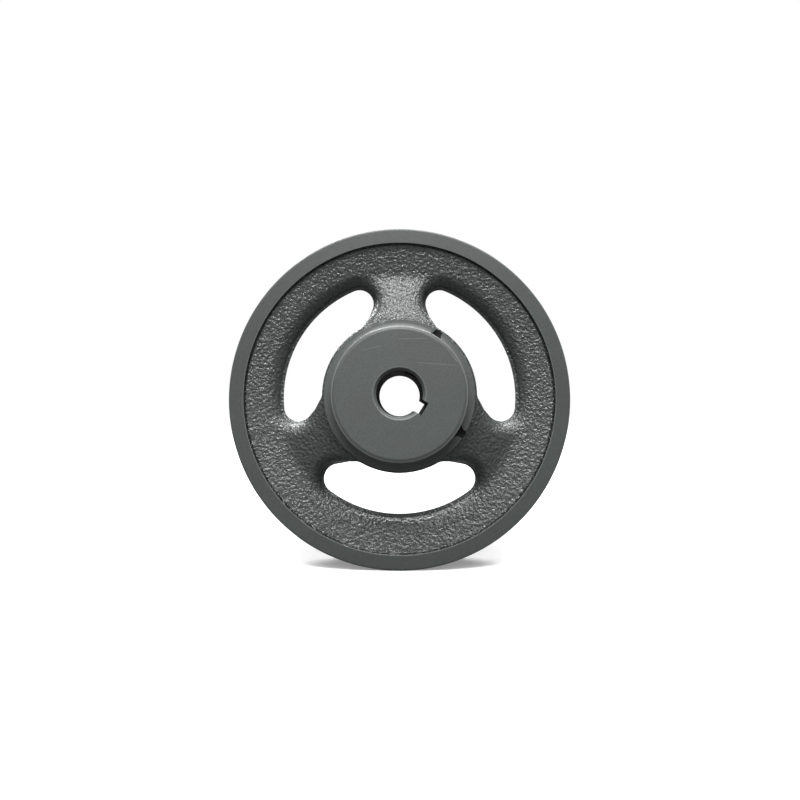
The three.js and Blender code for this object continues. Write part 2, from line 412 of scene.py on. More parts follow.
def measure(operation, *vectors):
    """A number worked out from vectors: a length or a dot product."""
    node = put(tree_of(*vectors), "ShaderNodeVectorMath", {"operation": operation})
    for socket, value in zip(node.inputs, vectors):
        plug(socket, value)
    return node.outputs["Value"]


def greatest(masks):
    """The highest of several masks."""
    return functools.reduce(functools.partial(calc, "MAXIMUM"), masks)


def cut(body, tools):
    """The body with the tools taken out of it."""
    settings = {"operation": "DIFFERENCE", "solver": "MANIFOLD"}
    node = put(body.id_data, "GeometryNodeMeshBoolean", settings)
    plug(node.inputs[0], body)
    plug(node.inputs[1], tools)
    return node.outputs[0]


def run_tree(obj, tree, values):
    """Puts a tree on an object, sets its named inputs, and returns the result as a plain mesh."""
    modifier = obj.modifiers.new(tree.name, "NODES")
    modifier.node_group = tree
    for item in tree.interface.items_tree:
        if item.in_out == "INPUT" and item.name in values:
            modifier[item.identifier] = values[item.name]
    evaluated = obj.evaluated_get(bpy.context.evaluated_depsgraph_get())
    mesh = bpy.data.meshes.new_from_object(evaluated)
    obj.modifiers.clear()
    obj.data = mesh
    bpy.data.node_groups.remove(tree)
    return obj


# Objects and meshes


def new_object(name, mesh=None):
    """A new object in the scene, on a mesh of its own if none is given."""
    obj = bpy.data.objects.new(name, mesh or bpy.data.meshes.new(name))
    bpy.context.scene.collection.objects.link(obj)
    return obj


def discard(obj):
    """Removes a cutter once it has done its work."""
    mesh = obj.data
    bpy.data.objects.remove(obj)
    bpy.data.meshes.remove(mesh)


def shade(mesh, degrees):
    """Smooth shading that stays crisp along real edges."""
    mesh.shade_smooth()
    mesh.set_sharp_from_angle(angle=math.radians(degrees))


def tidy_mesh(mesh, drop_slivers=True):
    """Merges doubles, drops slivers and turns all faces outwards."""
    work = bmesh.new()
    work.from_mesh(mesh)
    bmesh.ops.remove_doubles(work, verts=work.verts, dist=WELD)
    if drop_slivers:
        bmesh.ops.dissolve_degenerate(work, dist=WELD, edges=work.edges)
    bmesh.ops.recalc_face_normals(work, faces=work.faces)
    return into_mesh(work, mesh)


def into_mesh(work, mesh):
    """Puts finished mesh work into a mesh."""
    work.to_mesh(mesh)
    work.free()
    return mesh


def finish(name):
    """Makes a material the first time that it is asked for, and gives the same one after that."""

    def with_nodes(build):
        def material():
            made = bpy.data.materials.get(name)
            if made is None:
                made = bpy.data.materials.new(name)
                made.use_nodes = True
                build(made.node_tree, made.node_tree.nodes["Principled BSDF"])
            return made

        return material

    return with_nodes


def colour_mix(factor, a, b):
    """A colour between two, linked or plain."""
    node = put(factor.id_data, "ShaderNodeMix", {"data_type": "RGBA"}, Factor=factor)
    for socket, value in ((node.inputs[6], a), (node.inputs[7], b)):
        plug(socket, value if isinstance(value, bpy.types.NodeSocket) else (*value, 1))
    return node.outputs[2]


def spread(value, low, high, to_low=0.0, to_high=1.0):
    """Maps a range to another and clamps it."""
    node = put(value.id_data, "ShaderNodeMapRange")
    for socket, setting in zip(node.inputs[:5], (value, low, high, to_low, to_high)):
        plug(socket, setting)
    return node.outputs[0]


def noise(vector, scale, detail=2.0, roughness=0.5):
    """A cloudy pattern from 0 to 1."""
    return put(
        vector.id_data, "ShaderNodeTexNoise",
        Vector=vector, Scale=scale, Detail=detail, Roughness=roughness,
    ).outputs["Fac"]


def bump(height, distance, below=None):
    """A bump that is as high as distance, in metres, times the height socket."""
    node = put(height.id_data, "ShaderNodeBump", Height=height, Distance=distance, Strength=1.0)
    if below is not None:
        feed(node, Normal=below)
    return node.outputs["Normal"]


def object_place(tree):
    """Where a point is on the piece."""
    return put(tree, "ShaderNodeTexCoord").outputs["Object"]


def radius_from_bore(place):
    """Distance from the bore's axis."""
    tree = place.id_data
    x, _, z = put(tree, "ShaderNodeSeparateXYZ", Vector=place).outputs
    return measure("LENGTH", put(tree, "ShaderNodeCombineXYZ", X=x, Z=z).outputs[0])


# Finishes


@finish("Grey coated cast skin")
def cast_skin_material(tree, shader):
    """Grey coat over sand-cast skin: duller in its hollows, with painted shade in a thin dark ring
    along the recess's corner.
    """
    s, c = sizes(), colours()
    place = object_place(tree)
    grain = noise(place, 1 / s.skin_grain, 2.5)
    coarse = noise(place, 0.22 / s.skin_grain)
    fine = noise(place, 4.0 / s.skin_grain, 1.0)
    base = colour_mix(spread(grain, 0.36, 0.56), c.skin_low, c.skin)
    base = colour_mix(spread(coarse, 0.3, 0.7, 0.0, 0.25), base, TONES["skin cloud"])
    # Painted shade: a thin ring at the foot of the recess wall turns near black, standing in for
    # the shadow there.
    corner = derived().floor_radius + s.recess_slope / 2
    away = calc("ABSOLUTE", calc("SUBTRACT", radius_from_bore(place), corner))
    painted_corner_shade = spread(away, 0.3 * MM, 0.65 * MM, 0.85, 0.0)
    feed(
        shader,
        Base_Color=colour_mix(painted_corner_shade, base, TONES["painted recess shade"]),
        Roughness=spread(coarse, 0.3, 0.7, 0.1, 0.15),
        Normal=bump(grain, 0.00085, bump(fine, 0.000025)),
        Metallic=0.0,
        Specular_IOR_Level=0.7,
    )


def scratch(place, start, end, width):
    """A mask along a thin straight scratch on a front face."""
    start, end = (Vector((x, 0, z)) * MM for x, z in (start, end))
    middle, way = (start + end) / 2, end - start
    masks = []
    for axis, near, far in (
        (way.normalized(), 0.35 * way.length, 0.5 * way.length),
        (Vector((-way.z, 0, way.x)).normalized(), 0.4 * width, width),
    ):
        off = calc("SUBTRACT", measure("DOT_PRODUCT", place, axis), middle @ axis)
        masks.append(spread(calc("ABSOLUTE", off), near, far, 1.0, 0.0))
    return calc("MULTIPLY", *masks)


def worn_and_highlit_edges(radius):
    """A mask of the narrow rings where handling has polished the coat on the turned edges; their
    lighter colour is partly a painted highlight.
    """
    s, d = sizes(), derived()
    masks = []
    for ring, width, wear_and_sheen in (
        (s.nose_diameter / 2 - s.side_draft - 0.15 * MM, 0.45 * MM, 1.0),
        (d.rim_radius - 0.3 * MM, 0.32 * MM, 0.3),
        (d.recess_radius + 0.05 * MM, 0.25 * MM, 0.6),
        (d.bore_radius + s.bore_chamfer, 0.3 * MM, 0.8),
    ):
        away = calc("ABSOLUTE", calc("SUBTRACT", radius, ring))
        masks.append(spread(away, 0.5 * width, width, wear_and_sheen, 0.0))
    return greatest(masks)


@finish("Grey coated turned face")
def turned_material(tree, shader):
    """The same coat over turned faces: faint rings from the tool, rubbed edges lightened partly as
    painted highlight, fine scratches.
    """
    place = object_place(tree)
    radius = radius_from_bore(place)
    rings = noise(put(tree, "ShaderNodeCombineXYZ", X=radius).outputs[0], 2600.0, 1.5)
    cloud = noise(place, 110.0, 3.0, 0.6)
    speck = noise(place, 1500.0)
    patch = noise(place, 45.0)
    base = colours().turned
    for pattern, low, high, share, tone in (
        (cloud, 0.35, 0.7, 0.5, "turned cool"),
        (patch, 0.45, 0.7, 0.5, "turned warm"),
        (rings, 0.35, 0.65, 0.16, "turned bright"),
        (speck, 0.35, 0.65, 0.35, "turned dark"),
    ):
        base = colour_mix(spread(pattern, low, high, 0.0, share), base, TONES[tone])
    outer = put(tree, "ShaderNodeVectorMath", {"operation": "SCALE"}, Vector=base, Scale=0.78)
    base = colour_mix(spread(radius, 0.03, 0.05), base, outer.outputs[0])
    scratched = greatest([scratch(place, *ends, 0.13 * MM) for ends in SCRATCHES])
    scratched = calc("MULTIPLY", scratched, spread(speck, 0.3, 0.6, 0.25, 0.8))
    along = put(tree, "ShaderNodeSeparateXYZ", Vector=place).outputs["Y"]
    front = derived().rim_front
    ahead = spread(along, front + 0.05 * MM, front + 0.15 * MM, 1.0, 0.0)
    base = colour_mix(calc("MULTIPLY", scratched, ahead), base, TONES["scratched"])
    worn_and_highlit = worn_and_highlit_edges(radius)
    # Worn turned edges are lightened: partly real wear, partly a painted highlight along the
    # edges' bright arcs.
    base = colour_mix(calc("MULTIPLY", worn_and_highlit, 0.5), base, TONES["worn_and_highlit"])
    dull, polish = spread(cloud, 0.3, 0.7, 0.42, 0.52), calc("MULTIPLY", worn_and_highlit, 0.32)
    feed(
        shader,
        Base_Color=base,
        Roughness=calc("SUBTRACT", dull, polish),
        Normal=bump(rings, 0.00002, bump(speck, 0.00004)),
        Specular_IOR_Level=0.45,
    )


@finish("Bored iron and painted shade")
def bored_material(tree, shader):
    """Bare oiled iron in the bore, the keyway and the tapped holes, near black: partly the iron's
    own tone, partly painted shade.
    """
    place = object_place(tree)
    stretched = put(tree, "ShaderNodeMapping", Vector=place, Scale=(1.0, 14.0, 1.0)).outputs[0]
    blotch = noise(place, 300.0)
    oiled = spread(blotch, 0.35, 0.65)
    feed(
        shader,
        Base_Color=colour_mix(oiled, colours().bored_iron_and_shade, TONES["oiled"]),
        Roughness=spread(blotch, 0.3, 0.7, 0.5, 0.65),
        Normal=bump(noise(stretched, 420.0), 0.00003),
        Specular_IOR_Level=0.1,
    )


@finish("Black oxide steel")
def black_steel_material(tree, shader):
    """Black oxide on the set screws, worn a little brighter in patches."""
    blotch = noise(object_place(tree), 900.0, 3.0, 0.6)
    worn = spread(blotch, 0.5, 0.72)
    feed(
        shader,
        Base_Color=colour_mix(worn, colours().steel, TONES["worn oxide"]),
        Roughness=spread(blotch, 0.3, 0.7, 0.28, 0.42),
        Normal=bump(blotch, 0.00001),
        Metallic=0.9,
    )


@finish("Pale studio floor")
def floor_material(tree, shader):
    """Pale floor that glows white to the camera away from the pulley, and bounces little light."""
    pale = colours().floor
    seen = put(tree, "ShaderNodeLightPath").outputs["Is Camera Ray"]
    glow = spread(measure("LENGTH", object_place(tree)), 0.1, 0.5, 0.25, 1.0)
    feed(
        shader,
        Base_Color=colour_mix(seen, [v * 0.12 for v in pale], pale),
        Emission_Strength=calc("MULTIPLY", seen, glow),
        Emission_Color=(1, 1, 1, 1),
        Roughness=0.75,
        Specular_IOR_Level=0.0,
    )


# The casting


def arm_face(radius):
    """Front surface of arms and web: place along the bore at a radius."""
    s, d = sizes(), derived()
    out = np.maximum(radius - d.shelf_radius, 0)
    steep, gentle = math.tan(s.arm_foot_slope), math.tan(s.arm_slope)
    ease = s.arm_foot_length
    arm = d.shelf_front + gentle * out + (steep - gentle) * ease * (1 - np.exp(-out / ease))
    web = d.rim_front + s.recess_wall + (d.floor_radius - radius) * math.tan(s.web_dish)
    return soft_min(arm, web, s.valley_blend)


def back_face(radius):
    """Back surface of arms and web."""
    s, d = sizes(), derived()
    web_slope = math.tan(s.web_dish)
    web = d.rim_back - s.recess_wall - (d.floor_radius - radius) * web_slope
    valley = d.rim_back - s.recess_wall - (d.floor_radius - d.valley) * web_slope
    slope = (valley - d.arms_back) / (d.valley - d.back_ring)
    arm = d.arms_back + slope * (radius - d.back_ring)
    return -soft_min(-arm, -web, s.valley_blend)


def flank_corner(arc_radius, corner, outwards):
    """Centre of a window's round corner, and the direction in which it meets the flank."""
    s, d = sizes(), derived()
    axis = math.pi / s.arm_count
    flank = axis + s.arm_taper
    along = np.array([math.cos(flank), math.sin(flank)])
    inward = np.array([math.sin(flank), -math.cos(flank)])
    reach_in = math.sqrt(d.window_inner ** 2 - s.arm_half_width**2)
    start = reach_in * np.array([math.cos(axis), math.sin(axis)])
    start += s.arm_half_width * np.array([math.sin(axis), -math.cos(axis)])
    reach = arc_radius - corner if outwards else arc_radius + corner
    base = start + inward * corner
    half = base @ along
    centre = base + along * (-half + math.sqrt(half * half - base @ base + reach * reach))
    return centre, math.atan2(-inward[1], -inward[0])


def half_window():
    """Half a window's outline, from the middle of its outer arc to the middle of its inner arc.

    Gives points, directions into the iron, running length, where each stretch ends on it, and the
    angle at which the last arc starts.
    """
    s, d = sizes(), derived()
    outer, flank_angle = flank_corner(d.window_outer, s.window_outer_corner, True)
    inner, _ = flank_corner(d.window_inner, s.window_inner_corner, False)
    outer_end = math.atan2(outer[1], outer[0])
    inner_end = math.atan2(inner[1], inner[0])

    def arc(centre, radius, start, end, sign):
        t = np.linspace(start, end, OUTLINE_POINTS)
        way = np.stack([np.cos(t), np.sin(t)], 1)
        return centre + radius * way, way * sign

    arcs = [
        arc(np.zeros(2), d.window_outer, 0, outer_end, 1),
        arc(outer, s.window_outer_corner, outer_end, flank_angle, 1),
        arc(inner, s.window_inner_corner, flank_angle, inner_end + math.pi, 1),
        arc(np.zeros(2), d.window_inner, inner_end, 0, -1),
    ]
    straight = np.linspace(arcs[1][0][-1], arcs[2][0][0], OUTLINE_POINTS)
    normal = np.repeat(arcs[1][1][-1:], OUTLINE_POINTS, 0)
    parts = [arcs[0], arcs[1], (straight, normal), arcs[2], arcs[3]]
    points, normals = np.vstack([p for p, _ in parts]), np.vstack([n for _, n in parts])
    run = np.concatenate([[0], np.cumsum(np.linalg.norm(np.diff(points, axis=0), axis=1))])
    ends = run[OUTLINE_POINTS - 1 :: OUTLINE_POINTS]
    return points, normals, run, ends, inner_end


def half_grid(hub_radius):
    """Starts, directions and far ends of the half window's rays, and how near the hub each is."""
    s, d = sizes(), derived()
    points, normals, run, ends, inner_end = half_window()
    sector = math.pi / s.arm_count
    rim_stop = 0.55 * ends[0] + 0.45 * ends[1] if ends[1] > ends[0] else ends[0]
    arm_stop = 0.45 * ends[1] + 0.55 * ends[2]
    stops = [0, rim_stop, arm_stop, ends[3], ends[4]]
    steps = [RIM_STEPS, ARM_STEPS, FOOT_STEPS, SKIRT_STEPS]
    edge = d.web_edge
    places, far = [], []
    for i, n in enumerate(steps):
        t = np.linspace(0, 1, n + 1)[: n if i < 3 else n + 1]
        places.append(stops[i] + (stops[i + 1] - stops[i]) * t)
        if i == 1:
            radius, angle = edge + (hub_radius - edge) * t, np.full_like(t, sector)
        elif i == 0:
            radius, angle = np.full_like(t, edge), sector * t
        else:
            a, b = ((sector, inner_end), (inner_end, 0))[i - 2]
            radius, angle = np.full_like(t, hub_radius), a + (b - a) * t
        far.append(np.stack([radius * np.cos(angle), radius * np.sin(angle)], 1))
    places, far = np.concatenate(places), np.vstack(far)
    start = np.stack([np.interp(places, run, points[:, k]) for k in range(2)], 1)
    way = np.stack([np.interp(places, run, normals[:, k]) for k in range(2)], 1)
    way /= np.linalg.norm(way, axis=1)[:, None]
    near_hub = smooth((places - ends[1]) / (ends[3] - ends[1]))
    return start, way, far, near_hub


def whole(half, mirror):
    """A closed loop from a half one: the second half mirrored, its shared ends left out."""
    back = half[1:-1][::-1] * (np.array([1, -1]) if mirror else 1)
    return np.concatenate([half, back])


def window_sheet(front, rows):
    """Rows of points up a window's wall from the parting line, then across the iron."""
    s, d = sizes(), derived()
    hub_radius = d.shelf_radius if front else d.back_ring
    start, way, far, near_hub = half_grid(hub_radius)
    start, way, far = (whole(v, True) for v in (start, way, far))
    near_hub = whole(near_hub, False)
    skirt = (d.window_inner - hub_radius) * 0.35
    radius = (s.front_round if front else s.back_round) * (1 - near_hub) + skirt * near_hub
    draft = s.wall_draft * (1 - near_hub) + skirt * near_hub
    face = arm_face if front else back_face
    sign = 1 if front else -1
    out = []

    def row(plan, drop=0.0, place=None):
        if place is None:
            place = face(np.linalg.norm(plan, axis=1)) + sign * drop
        out.append(np.stack([plan[:, 0], place, plan[:, 1]], 1))

    lip = start + way * draft[:, None]
    lip_place = face(np.linalg.norm(lip, axis=1)) + sign * radius
    for t in np.linspace(0, 1, WALL_ROWS + 1)[:-1]:
        row(start + (lip - start) * t, place=s.parting + (lip_place - s.parting) * t)
    for angle in np.linspace(0, math.pi / 2, BEND_ROWS + 1):
        reach = draft + radius * (1 - math.cos(angle))
        row(start + way * reach[:, None], radius * (1 - math.sin(angle)))
    last = start + way * (draft + radius)[:, None]
    for t in np.linspace(0, 1, rows + 1)[1:]:
        row(last + (far - last) * t)
    return np.array(out)


def turned_sheet(profile, angles):
    """A profile turned through a list of angles."""
    r, y = profile[:, :1], profile[:, 1:]
    c, z = np.cos(angles)[None, :], np.sin(angles)[None, :]
    return np.stack([r * c, np.repeat(y, len(angles), 1), r * z], 2)


def rim_profile():
    """The rim from the front recess out over the groove to the back recess."""
    s, d = sizes(), derived()
    front, back = d.rim_front, d.rim_back
    edge = d.web_edge
    wall = s.recess_wall
    return [
        (edge, float(arm_face(edge)), 0),
        (d.floor_radius, front + wall, s.recess_fillet),
        (d.recess_radius, front, s.edge_break),
        (d.rim_radius, front, s.rim_corner),
        (d.rim_radius, -s.groove_top / 2, 2 * s.edge_break),
        (d.root, -d.root_half, s.groove_corner),
        (d.root, d.root_half, s.groove_corner),
        (d.rim_radius, s.groove_top / 2, 2 * s.edge_break),
        (d.rim_radius, back, s.rim_corner),
        (d.recess_radius, back, s.edge_break),
        (d.floor_radius, back - wall, s.recess_fillet),
        (edge, float(back_face(edge)), 0),
    ]


def hub_profile():
    """The hub from the shelf over the nose, through the bore and out over the back."""
    s, d = sizes(), derived()
    nose, back, side = s.hub_nose, s.hub_back, s.nose_diameter / 2
    bore, chamfer, shelf = d.bore_radius, s.bore_chamfer, d.shelf_front
    tip = side - s.side_draft
    return [
        (d.shelf_radius, float(arm_face(d.shelf_radius)), 0),
        (side, shelf, s.side_fillet),
        (tip, nose + s.nose_bevel_drop, s.nose_corner),
        (tip - s.nose_bevel, nose, s.edge_break),
        (bore + chamfer, nose, s.edge_break / 2),
        (bore, nose + chamfer, s.edge_break / 2),
        (bore, back - chamfer, s.edge_break / 2),
        (bore + chamfer, back, s.edge_break / 2),
        (d.back_face, back, s.edge_break),
        (d.back_face + s.back_boss, d.arms_back, 2 * s.edge_break),
        (d.back_ring, float(back_face(d.back_ring)), 0),
    ]


def sector_mesh():
    """One arm's share of the casting, open along its two sides."""
    s, d = sizes(), derived()
    points, quads, finish, skin = [], [], [], []

    def add(sheet, closed, finish_of_row, skin_of_row):
        rows, columns = sheet.shape[:2]
        first = sum(len(p) for p in points)
        points.append(sheet.reshape(-1, 3))
        skin.append(np.repeat(skin_of_row, columns))
        spans = columns if closed else columns - 1
        for i in range(rows - 1):
            a = first + i * columns + np.arange(spans)
            b = first + i * columns + (np.arange(spans) + 1) % columns
            quads.append(np.stack([a, b, b + columns, a + columns], 1))
            finish.append(np.full(spans, finish_of_row[i]))

    for front, rows in ((True, FRONT_ROWS), (False, BACK_ROWS)):
        sheet = window_sheet(front, rows)
        weight = np.clip((np.arange(len(sheet)) - 4) / 12, 0.15, 1)
        weight[-1] = 0
        add(sheet, True, [CAST] * len(sheet), weight)

    far = half_grid(d.shelf_radius)[2]
    angle = np.arctan2(far[:, 1], far[:, 0])
    rim_half = angle[: RIM_STEPS + 1]
    hub_half = angle[RIM_STEPS + ARM_STEPS :]
    rim_angles = np.concatenate([-rim_half[::-1], rim_half[1:]])
    hub_angles = np.concatenate([-hub_half, hub_half[::-1][1:]])

    rim = supported(rounded(rim_profile(), RIM_CORNER_STEPS), 2 * s.edge_break)
    middle = (rim[:-1] + rim[1:]) / 2
    in_recess = middle[:, 0] < d.recess_radius - s.edge_break
    in_recess &= np.abs(middle[:, 1]) > d.rim_back - 1.6 * s.recess_wall
    kind = np.where(in_recess, CAST, TURNED)
    add(turned_sheet(rim, rim_angles), False, kind, np.zeros(len(rim)))

    hub = supported(rounded(hub_profile(), HUB_CORNER_STEPS), 2 * s.edge_break)
    middle = (hub[:-1] + hub[1:]) / 2
    kind = np.full(len(middle), TURNED)
    kind[middle[:, 0] < d.bore_radius + s.bore_chamfer] = BORED
    kind[(middle[:, 1] < s.hub_nose + s.bore_chamfer) & (kind == BORED)] = TURNED
    rough = (middle[:, 1] > 0) & (middle[:, 0] > d.back_face + s.edge_break)
    kind[rough] = CAST
    add(turned_sheet(hub, hub_angles), False, kind, np.zeros(len(hub)))

    mesh = bpy.data.meshes.new("sheave_sector")
    mesh.from_pydata(np.vstack(points).tolist(), [], np.vstack(quads).tolist())
    mark_finish(mesh, np.concatenate(finish))
    mesh.attributes.new("skin", "FLOAT", "POINT").data.foreach_set(
        "value", np.concatenate(skin).astype(np.float32)
    )
    return tidy_mesh(mesh, drop_slivers=False)


def mark_finish(mesh, numbers):
    """Notes each face's finish on the mesh."""
    numbers = np.broadcast_to(numbers, len(mesh.polygons)).astype(np.int32)
    mesh.attributes.new("finish", "INT", "FACE").data.foreach_set("value", numbers)


def ring_tree(finishes):
    """Repeats one sector round the bore, raises its cast skin and cuts keyway and tapped holes."""
    tree, given, result = new_tree("Sheave from one sector", [
        ("Sectors", "NodeSocketInt"),
        *((name, "NodeSocketFloat") for name in ("First angle", "Height", "Grain", "Seed")),
        ("Cutters", "NodeSocketCollection"),
    ])
    v = given.outputs
    node = functools.partial(put, tree)
    line = node("GeometryNodeMeshLine", Count=v["Sectors"], Offset=(0, 0, 0))
    step = calc("DIVIDE", 2 * math.pi, v["Sectors"])
    index = node("GeometryNodeInputIndex").outputs[0]
    angle = calc("ADD", calc("MULTIPLY", index, step), v["First angle"])
    copies = node(
        "GeometryNodeInstanceOnPoints", Points=line.outputs[0], Instance=v["Geometry"],
        Rotation=node("ShaderNodeCombineXYZ", Y=calc("MULTIPLY", angle, -1.0)).outputs[0],
    )
    ring = node("GeometryNodeRealizeInstances", Geometry=copies.outputs[0])
    welded = node("GeometryNodeMergeByDistance", Geometry=ring.outputs[0], Distance=2 * WELD)
    bumps = node(
        "ShaderNodeTexNoise", {"noise_dimensions": "4D"}, W=v["Seed"], Detail=1.0,
        Vector=node("GeometryNodeInputPosition").outputs[0],
        Scale=calc("DIVIDE", 0.6, v["Grain"]),
    )
    skin = node("GeometryNodeInputNamedAttribute", {"data_type": "FLOAT"}, Name="skin")
    height = calc("MULTIPLY", calc("SUBTRACT", bumps.outputs["Fac"], 0.5), v["Height"])
    offset = node(
        "ShaderNodeVectorMath", {"operation": "SCALE"},
        Vector=node("GeometryNodeInputNormal").outputs[0],
        Scale=calc("MULTIPLY", height, skin.outputs[0]),
    )
    raised = node("GeometryNodeSetPosition", Geometry=welded.outputs[0], Offset=offset.outputs[0])
    tools = node("GeometryNodeCollectionInfo", Collection=v["Cutters"], Separate_Children=True)
    shape = cut(raised.outputs[0], tools.outputs[0])
    shape = node("GeometryNodeRealizeInstances", Geometry=shape).outputs[0]
    kind = node("GeometryNodeInputNamedAttribute", {"data_type": "INT"}, Name="finish").outputs[0]
    for finish_number, material in finishes.items():
        painted = node("GeometryNodeSetMaterial", Geometry=shape, Material=material)
        if finish_number:
            same = node("FunctionNodeCompare", {"data_type": "INT", "operation": "EQUAL"})
            plug(same.inputs[2], kind)
            plug(same.inputs[3], finish_number)
            feed(painted, Selection=same.outputs[0])
        shape = painted.outputs[0]
    plug(result.inputs[0], shape)
    return tree


# Threads, tools and screws


def thread_tree(material):
    """A threaded rod that starts near the bore's axis and leans out along one direction.

    Its thread is worked out from the distance to the bore's axis, so screw and hole always mesh.
    """
    names = (
        "Start", "End", "Radius", "Depth", "Pitch", "Start chamfer", "End chamfer", "Flare place",
        "Flare", "Cup radius", "Cup depth", "Socket radius", "Socket depth", "Angle", "Plane",
    )
    tree, given, result = new_tree("Threaded rod", [
        *((name, "NodeSocketFloat") for name in names), ("Rows", "NodeSocketInt"),
    ])
    v = given.outputs
    node = functools.partial(put, tree)

    def at(**values):
        return node("ShaderNodeCombineXYZ", **values).outputs[0]

    def moved(shape, **values):
        return node("GeometryNodeTransform", Geometry=shape, **values).outputs[0]

    span = calc("SUBTRACT", v["End"], v["Start"])
    rod = node(
        "GeometryNodeMeshCylinder",
        Vertices=THREAD_SIDES, Side_Segments=v["Rows"], Radius=v["Radius"], Depth=span,
    )
    middle = calc("MULTIPLY", calc("ADD", v["Start"], v["End"]), 0.5)
    rod = moved(rod.outputs["Mesh"], Translation=at(Z=middle))
    place = node("GeometryNodeInputPosition").outputs[0]
    x, y, z = node("ShaderNodeSeparateXYZ", Vector=place).outputs
    around = calc("DIVIDE", calc("ARCTAN2", y, x), 2 * math.pi)
    phase = calc("FRACT", calc("SUBTRACT", calc("DIVIDE", z, v["Pitch"]), around))
    ridge = calc("ABSOLUTE", calc("SUBTRACT", calc("MULTIPLY", phase, 2.0), 1.0))
    flank = spread(ridge, THREAD_CREST, THREAD_ROOT)
    radius = calc("SUBTRACT", v["Radius"], calc("MULTIPLY", flank, v["Depth"]))
    for chamfer, ends in (("Start chamfer", (z, v["Start"])), ("End chamfer", (v["End"], z))):
        slope = calc("ADD", calc("SUBTRACT", v["Radius"], v[chamfer]), calc("SUBTRACT", *ends))
        radius = calc("MINIMUM", radius, slope)
    flare = calc("ADD", v["Radius"], calc("SUBTRACT", z, v["Flare place"]))
    flare = calc("MINIMUM", flare, calc("ADD", v["Radius"], v["Flare"]))
    share = calc("DIVIDE", calc("MAXIMUM", radius, flare), v["Radius"])
    threaded = node(
        "GeometryNodeSetPosition", Geometry=rod,
        Position=at(X=calc("MULTIPLY", x, share), Y=calc("MULTIPLY", y, share), Z=z),
    )
    cup = node(
        "GeometryNodeMeshCone", Vertices=THREAD_SIDES, Radius_Top=0.0,
        Radius_Bottom=calc("MULTIPLY", v["Cup radius"], 2.0),
        Depth=calc("MULTIPLY", v["Cup depth"], 2.0),
    )
    socket = node(
        "GeometryNodeMeshCylinder",
        Vertices=6, Radius=v["Socket radius"], Depth=calc("MULTIPLY", v["Socket depth"], 2.0),
    )
    tools = node("GeometryNodeJoinGeometry")
    for tool, height in ((cup, calc("SUBTRACT", v["Start"], v["Cup depth"])), (socket, v["End"])):
        plug(tools.inputs[0], moved(tool.outputs[0], Translation=at(Z=height)))
    shape = cut(threaded.outputs[0], tools.outputs[0])
    shape = moved(shape, Rotation=(0, math.pi / 2, 0))
    spin = at(Y=calc("MULTIPLY", v["Angle"], -1.0))
    shape = moved(shape, Rotation=spin, Translation=at(Y=v["Plane"]))
    shape = node("GeometryNodeRealizeInstances", Geometry=shape).outputs[0]
    painted = node("GeometryNodeSetMaterial", Geometry=shape, Material=material)
    plug(result.inputs[0], painted.outputs[0])
    return tree


def threaded_rod(name, material, angle, start, end, values):
    """A rod from start to end, measured outwards from the bore's axis."""
    t = screw_sizes()
    flat = {
        "Start": start, "End": end, "Radius": t.diameter / 2, "Depth": t.depth, "Pitch": t.pitch,
        "Flare place": end + t.diameter, "Flare": 0.0,
        "Angle": angle, "Plane": derived().screw_plane,
        "Rows": int(round((end - start) / t.pitch * ROWS_PER_TURN)),
    }
    return run_tree(new_object(name), thread_tree(material), {**flat, **values})


def screw_angles():
    """Where round the bore the two screws stand."""
    s = sizes()
    return s.keyway_angle, s.keyway_angle + s.screws_apart


def tapped_hole(name, angle):
    """The tool that cuts one tapped hole: thread and chamfered mouth.

    A tool's own cup and socket are tiny, and lie inside the bore and outside the hub.
    """
    s, t, d = sizes(), screw_sizes(), derived()
    side = math.sqrt((s.nose_diameter / 2) ** 2 - (t.diameter / 2) ** 2)
    end = side + 4 * t.mouth + s.side_fillet
    tool = threaded_rod(name, bored_material(), angle, 0.4 * d.bore_radius, end, {
        "Radius": t.diameter / 2 + t.hole_play,
        "Start chamfer": -t.diameter, "End chamfer": -t.diameter,
        "Flare place": side - t.mouth, "Flare": t.mouth,
        "Cup radius": 0.1 * t.diameter, "Cup depth": 0.02 * t.diameter,
        "Socket radius": 0.1 * t.diameter, "Socket depth": 0.02 * t.diameter,
    })
    mark_finish(tool.data, BORED)
    return tool


def keyway_tool():
    """The broach that cuts the keyway, a little longer than the hub."""
    s, d = sizes(), derived()
    low = Vector((0, s.hub_nose - s.bore_chamfer, -s.key_width / 2))
    high = Vector((d.keyway_floor, s.hub_back + s.bore_chamfer, s.key_width / 2))
    size = Matrix.Diagonal((*(high - low), 1))
    work = bmesh.new()
    bmesh.ops.create_cube(work, size=1, matrix=Matrix.Translation((low + high) / 2) @ size)
    bmesh.ops.rotate(work, verts=work.verts, matrix=Matrix.Rotation(-s.keyway_angle, 3, "Y"))
    mesh = into_mesh(work, bpy.data.meshes.new("keyway_tool"))
    mesh.materials.append(bored_material())
    mark_finish(mesh, BORED)
    return new_object("keyway_tool", mesh)


